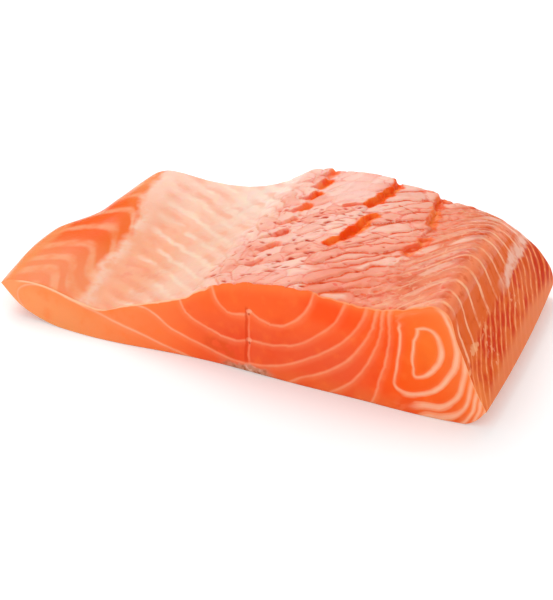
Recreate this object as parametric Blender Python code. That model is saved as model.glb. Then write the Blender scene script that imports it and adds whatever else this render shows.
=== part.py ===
"""A raw salmon portion: a full-width slab cut from a skinned fillet, lying on its skin side.

X runs from the thin belly edge (left) to the thick back edge (right), Y along the fish, away from the
cut face at the front, and Z up. The origin is on the table, under the middle of the slab. Metres.
"""

import math

import bmesh
import bpy

DEPTH = 0.090               # along the fish, between the two knife cuts
DATUM = (0.0009, -0.0444)   # X where the stations have 0 across, and Y of the front cut's upper edge
ROWS = 44                   # grid cells along the fish
LEVELS = 3                  # grid cells up each cut face

# The upper outline of the section, from the belly tip over the top to the back edge. Each station has
# its place across and its height at the front cut, half way along and at the rear cut, then the
# number of grid columns up to the next station.
UPPER = (
    ("belly tip", (-0.0895, 0.0105), (-0.0835, 0.0100), (-0.0800, 0.0090), 2),
    ("belly rim", (-0.0840, 0.0132), (-0.0815, 0.0145), (-0.0780, 0.0150), 3),
    ("belly strip", (-0.0710, 0.0137), (-0.0700, 0.0170), (-0.0690, 0.0193), 5),
    ("belly hollow", (-0.0500, 0.0094), (-0.0500, 0.0140), (-0.0500, 0.0180), 3),
    ("hollow foot", (-0.0370, 0.0142), (-0.0350, 0.0165), (-0.0340, 0.0194), 5),
    ("slope", (-0.0180, 0.0214), (-0.0190, 0.0232), (-0.0200, 0.0242), 7),
    ("slope head", (-0.0020, 0.0304), (-0.0040, 0.0314), (-0.0060, 0.0324), 14),
    ("loin", (0.0220, 0.0350), (0.0210, 0.0352), (0.0200, 0.0346), 17),
    ("outer loin", (0.0520, 0.0342), (0.0505, 0.0345), (0.0490, 0.0302), 8),
    ("shoulder", (0.0732, 0.0397), (0.0700, 0.0380), (0.0650, 0.0264), 4),
    ("upper side", (0.0796, 0.0285), (0.0790, 0.0275), (0.0760, 0.0205), 4),
    ("lower side", (0.0858, 0.0150), (0.0852, 0.0150), (0.0832, 0.0130), 3),
    ("back edge", (0.0907, 0.0060), (0.0895, 0.0060), (0.0858, 0.0062), 0),
)
# The under side between the same two edges. Between the belly heel and the back heel it lies flat.
UNDER = (
    ("under the rim", (-0.0843, 0.0062), (-0.0800, 0.0050), (-0.0775, 0.0042)),
    ("under the strip", (-0.0770, 0.0024), (-0.0735, 0.0018), (-0.0715, 0.0012)),
    ("belly heel", (-0.0650, 0.0), (-0.0640, 0.0), (-0.0630, 0.0)),
    ("back heel", (0.0838, 0.0), (0.0828, 0.0), (0.0788, 0.0)),
)

BELLY_BULGE = 0.0055        # the belly edge stands out this much further in its front half
BELLY_STEP = (0.42, 0.66)   # where the wide front of the belly edge narrows, as shares of the depth
BELLY_NARROWS = 0.0055      # by how much it narrows there
BELLY_STRIP_END = -0.050    # the bulge of the belly edge has faded out here, across

# The foot of each knife cut stands further out than its top by a wave that follows the belly flap and
# the loin, with a notch at the line where the two meet. Each hump has its middle across, its half
# width and how far out it stands.
FRONT_LEAN = ((-0.050, 0.030, 0.0038), (0.030, 0.030, 0.0016), (0.068, 0.018, 0.0014))
REAR_LEAN = ((-0.040, 0.035, 0.0022), (0.040, 0.040, 0.0026))
LEAN_ROUNDNESS = 1.5        # 1 would be a straight slope from foot to top
LEAN_REACH = 0.2            # how deep behind the cut it is felt, as a share of the depth
EDGE_FADE = 1.5             # stations from either edge over which relief and lean fade in
SIDE_FADE = 2.5             # the same for relief on the back edge's steep side

# Gashes where the flakes part. Each has its width, its depth, how far the flakes on its right lie
# lower, and then its points: across, and along from the front cut.
GASHES = (
    ("rear loin", 0.0044, 0.0034, 0.0010, ((0.0242, 0.0930), (0.0246, 0.0810), (0.0238, 0.0670))),
    ("its side branch", 0.0044, 0.0034, 0.0, ((0.0238, 0.0670), (0.0165, 0.0655))),
    ("front loin", 0.0044, 0.0034, 0.0008, ((0.0260, 0.0622), (0.0256, 0.0440), (0.0232, 0.0345))),
    ("rear outer", 0.0042, 0.0032, 0.0016, ((0.0402, 0.0930), (0.0436, 0.0780), (0.0458, 0.0670))),
    ("front outer", 0.0040, 0.0022, 0.0006, ((0.0490, 0.0520), (0.0502, 0.0470), (0.0500, 0.0430))),
)
GASH_FLOOR = 0.15           # the share of a gash's half width that is its flat floor
STEP_WIDTH = 0.001          # how steeply the surface steps down to the lower flakes
STEP_FADE = 0.014           # the lower flakes have come up again this far from a gash
BONE_SLITS = 8              # the short slits that the pin bones leave, in one row
BONE_ROW = ((0.0042, 0.0160), (-0.0006, 0.0870))  # middles of its first and last slit
BONE_SLIT_LENGTH = 0.0058
BONE_SLIT_SLANT = 0.0010                # each slit's rear end lies this much to the right of its middle
BONE_SLIT_WIDTH = 0.0042
BONE_SLIT_DEPTH = (0.0014, 0.0034)      # at the front and at the rear of the row
BONE_ROW_STEP = (0.0, 0.0011)           # how far the flakes on its right lie lower, front and rear

FLAKE_PITCH = 0.0094        # from one sheet of muscle to the next, along the fish
FLAKE_RELIEF = 0.0006       # how far a flake stands proud of the groove beside it
FLAKE_CREST = 0.78          # the highest point of a flake, as a share of the pitch
# The line that one sheet of muscle draws across the upper face: its slope, and where it bends.
FLAKE_START_SLOPE = 0.25
FLAKE_BENDS = ((-0.071, -1.5), (-0.058, -0.8), (0.000, 0.36), (0.074, -0.20))
FLAKE_BEND_WIDTH = 0.004
LOIN_FLAKES = (-0.010, 0.004)           # where the flakes start to stand proud, across


def smooth_step(low, high, value):
    """0 below low, 1 above high and a soft ramp between them."""
    share = min(max((value - low) / (high - low), 0.0), 1.0)
    return share * share * (3.0 - 2.0 * share)


def mix(first, second, share):
    return first + (second - first) * share


def bend(front, middle, rear, share):
    """The value at a share of the depth, on the parabola through its three given values."""
    tilt = rear - front
    bow = 2.0 * (front - 2.0 * middle + rear)
    return front + (tilt - bow) * share + bow * share * share


def through(points, place):
    """The point at a place, counted in stations, on a smooth curve through the points."""
    last = len(points) - 1
    index = min(int(place), last - 1)
    t = place - index
    before, start, end, after = (points[min(max(index + k, 0), last)] for k in (-1, 0, 1, 2))
    return tuple(
        0.5 * (2 * b + (c - a) * t + (2 * a - 5 * b + 4 * c - d) * t ** 2 + (3 * b - a - 3 * c + d) * t ** 3)
        for a, b, c, d in zip(before, start, end, after)
    )


def belly_reach(along):
    """How far the belly edge stands out beyond its plain curve."""
    step = smooth_step(*BELLY_STEP, along)
    wide = math.sin(math.pi * min(along / BELLY_STEP[1], 1.0)) * BELLY_BULGE
    return -wide * (1.0 - step) - BELLY_NARROWS * along * (1.0 - step)


def stations(rows, along):
    """Each station's place and height at this share of the depth."""
    placed = []
    for _, front, middle, rear, *_ in rows:
        x = bend(front[0], middle[0], rear[0], along)
        z = bend(front[1], middle[1], rear[1], along)
        placed.append((x + belly_reach(along) * smooth_step(BELLY_STRIP_END, UPPER[0][1][0], x), z))
    return placed


def under_stations(along):
    """The under side with as many stations as the upper outline, so that the two sheets pair up."""
    upper = stations(UPPER, along)
    *belly, back = stations(UNDER, along)
    flat = len(UPPER) - len(belly) - 3
    table = [(mix(belly[-1][0], back[0], (k + 1) / (flat + 1)), 0.0) for k in range(flat)]
    return [upper[0], *belly, *table, back, upper[-1]]


def column_places():
    """The place of each grid column, counted in stations."""
    places = []
    for index, (*_, columns) in enumerate(UPPER[:-1]):
        places += [index + k / columns for k in range(columns)]
    return [*places, float(len(UPPER) - 1)]


def from_line(x, y, start, end):
    """How far a point is from a straight stretch, and on which side: positive is to its right."""
    run = (end[0] - start[0], end[1] - start[1])
    share = ((x - start[0]) * run[0] + (y - start[1]) * run[1]) / (run[0] ** 2 + run[1] ** 2)
    share = min(max(share, 0.0), 1.0)
    across = x - start[0] - share * run[0]
    return math.hypot(across, y - start[1] - share * run[1]), across


def slot(away, width, depth):
    """The depth of a gash at a distance from its middle line."""
    return depth * (1.0 - smooth_step(GASH_FLOOR, 1.0, away / (0.5 * width)))


def step_beside(across, away, step):
    """How much lower the flakes lie on the right of a gash."""
    return step * smooth_step(0.0, STEP_WIDTH, across) * (1.0 - smooth_step(0.0, STEP_FADE, away))


def gashes(x, y):
    """How far the gashes, and the lower flakes beside them, take the surface down."""
    deepest = 0.0
    lowered = 0.0
    for _, width, depth, step, points in GASHES:
        away, across = min(from_line(x, y, a, b) for a, b in zip(points, points[1:]))
        deepest = max(deepest, slot(away, width, depth))
        lowered = max(lowered, step_beside(across, away, step))
    for k in range(BONE_SLITS):
        share = k / (BONE_SLITS - 1)
        middle = [mix(first, last, share) for first, last in zip(*BONE_ROW)]
        start = (middle[0] - BONE_SLIT_SLANT, middle[1] - BONE_SLIT_LENGTH / 2)
        end = (middle[0] + BONE_SLIT_SLANT, middle[1] + BONE_SLIT_LENGTH / 2)
        away, _ = from_line(x, y, start, end)
        deepest = max(deepest, slot(away, BONE_SLIT_WIDTH, mix(*BONE_SLIT_DEPTH, share)))
    away, across = from_line(x, y, *BONE_ROW)
    lowered += step_beside(across, away, mix(*BONE_ROW_STEP, y / DEPTH))
    return max(deepest, lowered)


def flake_line(x):
    """How far along the fish one sheet of muscle has moved at this place across."""
    run = FLAKE_START_SLOPE * x
    slope = FLAKE_START_SLOPE
    for place, next_slope in FLAKE_BENDS:
        past = x - place
        run += (next_slope - slope) * 0.5 * (past + math.hypot(past, FLAKE_BEND_WIDTH))
        slope = next_slope
    return run


def flakes(x, y):
    """The relief of the flakes of the loin: each rises slowly and drops into a groove."""
    phase = (y - flake_line(x)) / FLAKE_PITCH
    share = phase - math.floor(phase)
    ramp = share * (1.0 - smooth_step(FLAKE_CREST, 1.0, share))
    return FLAKE_RELIEF * ramp * smooth_step(*LOIN_FLAKES, x)


def lean(humps, x, level):
    """How far out the cut face stands at this place across and share of its height."""
    foot = sum(out * math.exp(-(((x - middle) / half_width) ** 2)) for middle, half_width, out in humps)
    return foot * (1.0 - level) ** LEAN_ROUNDNESS


def place_on_slab(column_place, row, level, upper, under):
    """The point of the slab for a grid column, a grid row and a share of the height."""
    share = row / ROWS
    y = DEPTH * share
    from_back = len(UPPER) - 1 - column_place
    top_x, top_z = through(upper, column_place)
    relief = smooth_step(0.0, EDGE_FADE, column_place) * smooth_step(0.0, SIDE_FADE, from_back)
    top_z += (flakes(top_x, y) - gashes(top_x, y)) * relief
    low_x, low_z = through(under, column_place)
    x = mix(low_x, top_x, level)
    z = mix(max(low_z, 0.0), top_z, level)
    within = smooth_step(0.0, EDGE_FADE, column_place) * smooth_step(0.0, EDGE_FADE, from_back)
    y += lean(REAR_LEAN, x, level) * within * smooth_step(1.0 - LEAN_REACH, 1.0, share)
    y -= lean(FRONT_LEAN, x, level) * within * (1.0 - smooth_step(0.0, LEAN_REACH, share))
    return x + DATUM[0], y + DATUM[1], z


def slab():
    """A grid extruded to a block, whose corners close to the belly tip and the back edge."""
    places = column_places()
    columns = len(places) - 1
    bm = bmesh.new()
    bmesh.ops.create_grid(bm, x_segments=columns, y_segments=ROWS, size=0.5)
    low_x = min(v.co.x for v in bm.verts)
    low_y = min(v.co.y for v in bm.verts)
    sheet = [*bm.verts, *bm.edges, *bm.faces]
    for _ in range(LEVELS):
        sheet = bmesh.ops.extrude_face_region(bm, geom=sheet)["geom"]
        bmesh.ops.translate(bm, vec=(0, 0, 1), verts=[g for g in sheet if isinstance(g, bmesh.types.BMVert)])

    sections = [(stations(UPPER, row / ROWS), under_stations(row / ROWS)) for row in range(ROWS + 1)]
    for vertex in bm.verts:
        column = round((vertex.co.x - low_x) / (-2 * low_x) * columns)
        row = round((vertex.co.y - low_y) / (-2 * low_y) * ROWS)
        vertex.co = place_on_slab(places[column], row, vertex.co.z / LEVELS, *sections[row])
    bmesh.ops.remove_doubles(bm, verts=bm.verts[:], dist=1e-6)
    bmesh.ops.recalc_face_normals(bm, faces=bm.faces[:])
    return bm


def merge_table_patch(bm):
    """The patch that lies on the table is flat, so it becomes one face."""
    patch = {f for f in bm.faces if all(abs(v.co.z) < 1e-7 for v in f.verts)}
    bmesh.ops.dissolve_limit(
        bm,
        angle_limit=math.radians(0.05),
        verts=[v for v in bm.verts if patch.issuperset(v.link_faces)],
        edges=[e for e in bm.edges if patch.issuperset(e.link_faces)],
        use_dissolve_boundaries=False,
    )


def clear_scene():
    for obj in list(bpy.data.objects):
        bpy.data.objects.remove(obj)


def flesh_material():
    material = bpy.data.materials.new("salmon flesh")
    material.use_nodes = True
    shader = material.node_tree.nodes["Principled BSDF"]
    shader.inputs["Base Color"].default_value = (0.90, 0.20, 0.07, 1.0)
    shader.inputs["Roughness"].default_value = 0.35
    shader.inputs["Metallic"].default_value = 0.0
    return material


def build():
    clear_scene()
    collection = bpy.data.collections.new("salmon portion")
    bpy.context.scene.collection.children.link(collection)
    bm = slab()
    merge_table_patch(bm)
    mesh = bpy.data.meshes.new("salmon")
    bm.to_mesh(mesh)
    bm.free()
    mesh.materials.append(flesh_material())
    mesh.shade_smooth()
    mesh.set_sharp_from_angle(angle=math.radians(50))
    salmon = bpy.data.objects.new("salmon", mesh)
    collection.objects.link(salmon)


build()
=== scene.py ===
"""The looks of the raw salmon portion: the flesh as one fine mesh over the solid, its four finishes (the
knife cuts, the inner face, the side of the back edge and the skinned under side), the light and the camera.

X runs from the belly edge to the back edge, Y along the fish and Z up, in metres. "Across" is X measured
from the stations' datum, "along" is how far behind the front cut a point lies.
"""

import math

import bmesh
import bpy
import numpy as np
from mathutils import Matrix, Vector, noise


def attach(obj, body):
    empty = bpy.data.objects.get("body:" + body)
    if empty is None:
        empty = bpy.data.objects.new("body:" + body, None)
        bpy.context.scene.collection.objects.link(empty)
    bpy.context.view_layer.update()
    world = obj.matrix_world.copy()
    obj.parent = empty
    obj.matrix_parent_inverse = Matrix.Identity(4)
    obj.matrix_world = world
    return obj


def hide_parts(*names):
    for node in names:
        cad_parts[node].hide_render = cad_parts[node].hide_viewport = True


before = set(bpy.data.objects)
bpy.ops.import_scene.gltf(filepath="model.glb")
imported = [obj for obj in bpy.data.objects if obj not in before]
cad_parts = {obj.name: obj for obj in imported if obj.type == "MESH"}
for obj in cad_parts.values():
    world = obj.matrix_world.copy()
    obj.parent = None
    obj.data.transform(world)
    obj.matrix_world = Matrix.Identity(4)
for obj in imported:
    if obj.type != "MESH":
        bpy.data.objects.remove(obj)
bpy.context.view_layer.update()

MM = 0.001

# The form of the slab, as the solid has it. Lengths are in metres, and fades are counted in stations.
DEPTH = 0.090
DATUM = (0.0009, -0.0444)
# Each station has its place across and its height at the front cut, half way along and at the rear
# cut, then the size of the mesh's cells up to the next station.
UPPER = (
    ("belly tip", (-0.0895, 0.0105), (-0.0835, 0.0100), (-0.0800, 0.0090), 0.00080),
    ("belly rim", (-0.0840, 0.0132), (-0.0815, 0.0145), (-0.0780, 0.0150), 0.00080),
    ("belly strip", (-0.0710, 0.0137), (-0.0700, 0.0170), (-0.0690, 0.0193), 0.00080),
    ("belly hollow", (-0.0500, 0.0094), (-0.0500, 0.0140), (-0.0500, 0.0180), 0.00080),
    ("hollow foot", (-0.0370, 0.0142), (-0.0350, 0.0165), (-0.0340, 0.0194), 0.00070),
    ("slope", (-0.0180, 0.0214), (-0.0190, 0.0232), (-0.0200, 0.0242), 0.00052),
    ("slope head", (-0.0020, 0.0304), (-0.0040, 0.0314), (-0.0060, 0.0324), 0.00046),
    ("loin", (0.0220, 0.0350), (0.0210, 0.0352), (0.0200, 0.0346), 0.00046),
    ("outer loin", (0.0520, 0.0342), (0.0505, 0.0345), (0.0490, 0.0302), 0.00046),
    ("shoulder", (0.0732, 0.0397), (0.0700, 0.0380), (0.0650, 0.0264), 0.00050),
    ("upper side", (0.0796, 0.0285), (0.0790, 0.0275), (0.0760, 0.0205), 0.00052),
    ("lower side", (0.0858, 0.0150), (0.0852, 0.0150), (0.0832, 0.0130), 0.00060),
    ("back edge", (0.0907, 0.0060), (0.0895, 0.0060), (0.0858, 0.0062), 0.0),
)
UNDER = (
    ("under the rim", (-0.0843, 0.0062), (-0.0800, 0.0050), (-0.0775, 0.0042)),
    ("under the strip", (-0.0770, 0.0024), (-0.0735, 0.0018), (-0.0715, 0.0012)),
    ("belly heel", (-0.0650, 0.0), (-0.0640, 0.0), (-0.0630, 0.0)),
    ("back heel", (0.0838, 0.0), (0.0828, 0.0), (0.0788, 0.0)),
)
STATION = {row[0]: index for index, row in enumerate(UPPER)}
BELLY_HEEL_STATION = 3
BACK_HEEL_STATION = len(UPPER) - 2
BACK_EDGE_STATION = STATION["shoulder"] + 0.45
BELLY_BULGE = 0.0055
BELLY_STEP = (0.42, 0.66)
BELLY_NARROWS = 0.0055
BELLY_STRIP_END = -0.050
FRONT_LEAN = ((-0.050, 0.030, 0.0038), (0.030, 0.030, 0.0016), (0.068, 0.018, 0.0014))
REAR_LEAN = ((-0.040, 0.035, 0.0022), (0.040, 0.040, 0.0026))
LEAN_ROUNDNESS = 1.5
LEAN_REACH = 0.2
EDGE_FADE = 1.5
SIDE_FADE = 2.5

# The mesh: rows along the fish, closer together at the cuts so that their edges stay crisp, and levels
# up the cut faces.
ROW_LENGTH = 0.00050
EDGE_ROWS = (0.00012, 0.00030, 0.00060)
LEVEL_SHARES = (0.0, 0.02, 0.07, 0.16, 0.26, 0.36, 0.46, 0.56, 0.66, 0.76, 0.85, 0.92, 0.965, 0.99, 1.0)
EDGE_ROUNDING = 0.00030

# Gashes where the flakes part: width, depth, how far the flakes on the right lie lower, how raw the
# flesh in it is, and points across and along, all in mm like every measure on the surface from here on.
GASHES = (
    ("rear loin", 3.4, 2, 1, 1, ((25.4, 93), (26.4, 83), (25, 74), (22.8, 65.5))),
    ("its side branch", 2.2, 1.4, 0, 0.6, ((22.8, 65.5), (15.5, 61))),
    ("front loin", 4, 2.4, 0.8, 1, ((27.6, 59), (26.8, 51), (25.2, 41))),
    ("its tail", 3, 1.8, 0.4, 1, ((25.2, 41), (21.8, 32))),
    ("rear outer", 3.2, 1.8, 1.6, 0.8, ((41.5, 93), (44.4, 79), (47.6, 63))),
    ("front outer", 3.6, 1.2, 0.6, 0.65, ((51, 51), (49.8, 45), (47.6, 39.5))),
)
# How far beside a gash the flakes lie lower.
STEP_FADE = 14.0
# The slits of the bone row: the deep right end, how far they run to the left and the front, width, depth.
BONE_SLITS = (
    ((4.5, 16.5), (4.2, 3.2), 2.8, 1.2),
    ((3.7, 28.4), (4.4, 5), 3.8, 2),
    ((3.3, 38.6), (7, 4.8), 4, 1.9),
    ((2.4, 48.6), (5.2, 4.4), 3, 1.5),
    ((2.8, 59), (6.2, 4.8), 3.8, 2.3),
    ((2.2, 69.8), (4.4, 5.6), 3.8, 2.5),
    ((1.5, 80), (3.6, 5.6), 4.4, 2.4),
    ((0.5, 88.5), (3, 4.6), 4.4, 1.8),
)
# The line of the bone row, and how far the flakes on its right lie lower at the rear.
BONE_ROW = ((4.4, 13), (-0.8, 89))
BONE_ROW_STEP = 1.1
# Small pits: their places across and along, and their sizes.
PITS = (
    ((12.9, 50.6), 1.5),
    ((11.6, 28.9), 0.9),
    ((14.1, 32.4), 0.9),
    ((14.4, 18.8), 1.1),
    ((9.8, 14.3), 0.8),
    ((5.4, 20.6), 0.9),
    ((18.1, 23.4), 1),
    ((14.6, 7.1), 0.7),
    ((13.6, 25.4), 0.8),
    ((18, 54.6), 0.9),
    ((-8.5, 22), 1),
    ((-11.5, 30.5), 0.9),
    ((-13, 15), 0.9),
)
PIT_DEPTH = 0.8
# The small nicks round the bone row: how many are drawn, the middle and the spread of their places across,
# where they lie across and along, and how wide they are.
NICKS = 110
NICK_SPREAD = (12, 14)
NICKS_ACROSS = (-16, 44)
NICKS_ALONG = (1, 62)
NICK_WIDTH = 0.5
# Hairlines, each from one place to another.
HAIRLINES = (
    ((30.8, 47), (42.1, 45.4)),
    ((32.4, 71.3), (40.8, 67.2)),
    ((10.4, 44.3), (22, 47.6)),
    ((-2, 26), (9, 29)),
    ((28, 33), (36, 44)),
)

# The sheets of muscle: how far apart they lie, and the slopes of the line that each draws on its way
# across the upper face, each slope from its own place on.
FLAKE_PITCH = 9.4
FLAKE_START_SLOPE = 0.42
FLAKE_BENDS = ((-71, -1.6), (-63, -0.28), (-47, -0.72), (-33, -0.97), (0, 0.5), (24, 0.8))
FLAKE_BEND_WIDTH = 2.5
# How long the flakes are at these places across, and how many lie beside each other on one sheet.
FLAKE_LENGTHS = ((-90, -45, -12, 4, 20, 32, 90), (12, 15, 11, 6.5, 8, 15, 18))
FLAKES_PER_SHEET = 1.35
# How far into a flake, as a share of a cell, its crease reaches.
CREASE_WIDTH = 0.42
# How many steps over the mesh the surface is evened out, to find its hollows.
HOLLOW_REACH = 14
# How far the lines are shifted across on the belly strip, at these places along.
STRIP_DRIFT = ((0, 10, 25, 45, 90), (-2.8, -1.8, 1.5, 4, 5))
# The lines lie this much further apart on the belly strip, spreading from this place along.
STRIP_SPREAD = 0.2
STRIP_SPREAD_FROM = 12.0
# Where the membrane begins, along the fish.
MEMBRANE_EDGE = (
    (0, 10, 20, 44, 55, 70, 90),
    (-58, -59.4, -61.5, -62, -65.2, -70, -71.5),
)
# Where the sheets cross the shoulder, along the fish.
SHOULDER_SHEETS = (4, 10.5, 18.3, 28, 37.8, 46.7, 55.9)
# The height of the fat seam on the back edge's side, along the fish.
SEAM = ((0, 5, 14.5, 29, 47, 63, 90), (19.5, 22.5, 24.4, 25.8, 26.4, 26.9, 23.2))
# How far apart the stripes of the back edge's side lie.
SIDE_PITCH = 5.6


def smooth_step(low, high, value):
    """0 below low, 1 above high and a soft ramp between them."""
    share = np.clip((value - low) / (high - low), 0.0, 1.0)
    return share * share * (3.0 - 2.0 * share)


def fading(low, high, value):
    """1 below low, 0 above high and a soft ramp between them."""
    return 1.0 - smooth_step(low, high, value)


def hump(middle, half_width, value):
    """1 at the middle, falling softly to nothing on both sides."""
    return np.exp(-(((value - middle) / half_width) ** 2))


def mix(first, second, share):
    return first + (second - first) * share


def bend(front, middle, rear, share):
    """The value at a share of the depth, on the parabola through its three given values."""
    tilt = rear - front
    bow = 2.0 * (front - 2.0 * middle + rear)
    return front + (tilt - bow) * share + bow * share * share


def belly_reach(along_share):
    """How far the belly edge stands out beyond its plain curve."""
    step = smooth_step(*BELLY_STEP, along_share)
    wide = np.sin(np.pi * np.minimum(along_share / BELLY_STEP[1], 1.0)) * BELLY_BULGE
    return -wide * (1.0 - step) - BELLY_NARROWS * along_share * (1.0 - step)


def stations(rows, along_share):
    """Every station's place and height: an array of rows along the fish, stations, and (across, height)."""
    placed = []
    for _, front, middle, rear, *_ in rows:
        x, z = (bend(front[k], middle[k], rear[k], along_share) for k in (0, 1))
        x = x + belly_reach(along_share) * smooth_step(BELLY_STRIP_END, UPPER[0][1][0], x)
        placed.append(np.stack([x, z], axis=-1))
    return np.stack(placed, axis=1)


def under_stations(along_share):
    """The under side with as many stations as the upper outline, so that the two sheets pair up."""
    upper = stations(UPPER, along_share)
    lower = stations(UNDER, along_share)
    belly, back = lower[:, :-1], lower[:, -1:]
    flat = len(UPPER) - belly.shape[1] - 3
    shares = np.arange(1, flat + 1)[None, :, None] / (flat + 1)
    table = mix(belly[:, -1:], back, shares)
    return np.concatenate([upper[:, :1], belly, table, back, upper[:, -1:]], axis=1)


def through(points, places):
    """The points at these places, counted in stations, on smooth curves through the rows of points."""
    last = points.shape[1] - 1
    index = np.minimum(places.astype(int), last - 1)
    t = (places - index)[None, :, None]
    before, start, end, after = (points[:, np.clip(index + k, 0, last)] for k in (-1, 0, 1, 2))
    straight = (end - before) * t
    curved = (2 * before - 5 * start + 4 * end - after) * t ** 2
    turned = (3 * start - before - 3 * end + after) * t ** 3
    return 0.5 * (2 * start + straight + curved + turned)


def column_places():
    """The place of each column of the mesh, counted in stations."""
    middle = stations(UPPER, np.array([0.5]))[0]
    places = []
    for index, row in enumerate(UPPER[:-1]):
        length = np.hypot(*(middle[index + 1] - middle[index]))
        cells = math.ceil(length / row[-1])
        places += [index + k / cells for k in range(cells)]
    return np.array([*places, float(len(UPPER) - 1)])


def row_shares():
    """Each row's share of the depth."""
    cells = round((DEPTH - 2 * EDGE_ROWS[-1]) / ROW_LENGTH)
    inner = np.linspace(EDGE_ROWS[-1], DEPTH - EDGE_ROWS[-1], cells + 1)
    edges = np.array([0.0, *EDGE_ROWS[:-1]])
    return np.concatenate([edges, inner, (DEPTH - edges)[::-1]]) / DEPTH


def uneven(x, y, size, seed):
    """Soft random heights between about -1 and 1, with bumps of this size."""
    flat_x, flat_y = np.broadcast_arrays(x / size, y / size)
    values = [noise.noise(Vector((a, b, seed))) for a, b in zip(flat_x.ravel(), flat_y.ravel())]
    return np.array(values).reshape(flat_x.shape)


def evened(values, times):
    """The values spread over their neighbours in the mesh."""
    for _ in range(times):
        framed = np.pad(values, 1, mode="edge")
        beside = framed[1:-1, :-2] + framed[1:-1, 2:] + framed[:-2, 1:-1] + framed[2:, 1:-1]
        values = 0.5 * values + 0.125 * beside
    return values


def from_line(x, y, start, end):
    """How far points are from a straight stretch, and on which side: positive is to its right."""
    run = (end[0] - start[0], end[1] - start[1])
    share = ((x - start[0]) * run[0] + (y - start[1]) * run[1]) / (run[0] ** 2 + run[1] ** 2)
    share = np.clip(share, 0.0, 1.0)
    across = x - start[0] - share * run[0]
    return np.hypot(across, y - start[1] - share * run[1]), across


def from_path(x, y, points):
    """How far points are from a path of straight stretches, and on which side of it."""
    away = np.full(np.shape(x), 1e3)
    across = np.zeros(np.shape(x))
    for start, end in zip(points, points[1:]):
        near, beside = from_line(x, y, start, end)
        across = np.where(near < away, beside, across)
        away = np.minimum(near, away)
    return away, across


def lower_side(away, across):
    """A mask of the right side of a line, where the flakes lie lower beside it."""
    return smooth_step(0.0, 1.0, across) * fading(0.0, STEP_FADE, away)


def flake_line(x):
    """How far along the fish one sheet of muscle has moved at this place across, in mm."""
    run = FLAKE_START_SLOPE * x
    slope = FLAKE_START_SLOPE
    for place, next_slope in FLAKE_BENDS:
        past = x - place
        run = run + (next_slope - slope) * 0.5 * (past + np.hypot(past, FLAKE_BEND_WIDTH))
        slope = next_slope
    return run


CELL_TABLE = 64


def cells(u, v, seed):
    """How far inside its irregular cell each place lies, how far beyond its middle in v, and the cell's own
    number from 0 to 1."""
    draw = np.random.default_rng(seed)
    centres = draw.uniform(0.06, 0.94, (CELL_TABLE, CELL_TABLE, 2))
    numbers = draw.uniform(0.0, 1.0, (CELL_TABLE, CELL_TABLE))
    nearest = np.full(np.shape(u), 9.0)
    second = np.full(np.shape(u), 9.0)
    own = np.zeros(np.shape(u))
    beyond = np.zeros(np.shape(u))
    for step_u in (-1, 0, 1):
        for step_v in (-1, 0, 1):
            cell_u = np.floor(u).astype(int) + step_u
            cell_v = np.floor(v).astype(int) + step_v
            entry = (cell_u % CELL_TABLE, cell_v % CELL_TABLE)
            centre = centres[entry]
            away = np.hypot(cell_u + centre[..., 0] - u, cell_v + centre[..., 1] - v)
            closer = away < nearest
            second = np.where(closer, nearest, np.minimum(second, away))
            own = np.where(closer, numbers[entry], own)
            beyond = np.where(closer, v - cell_v - centre[..., 1], beyond)
            nearest = np.minimum(nearest, away)
    return second - nearest, beyond, own


def sheet_at_shoulder(along):
    """The number of the muscle sheet that crosses the shoulder at this place along, in mm."""
    known = np.arange(len(SHOULDER_SHEETS), dtype=float)
    number = np.interp(along, SHOULDER_SHEETS, known)
    below = np.minimum(along - SHOULDER_SHEETS[0], 0.0) / FLAKE_PITCH
    above = np.maximum(along - SHOULDER_SHEETS[-1], 0.0) / FLAKE_PITCH
    return number + below + above


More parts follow.
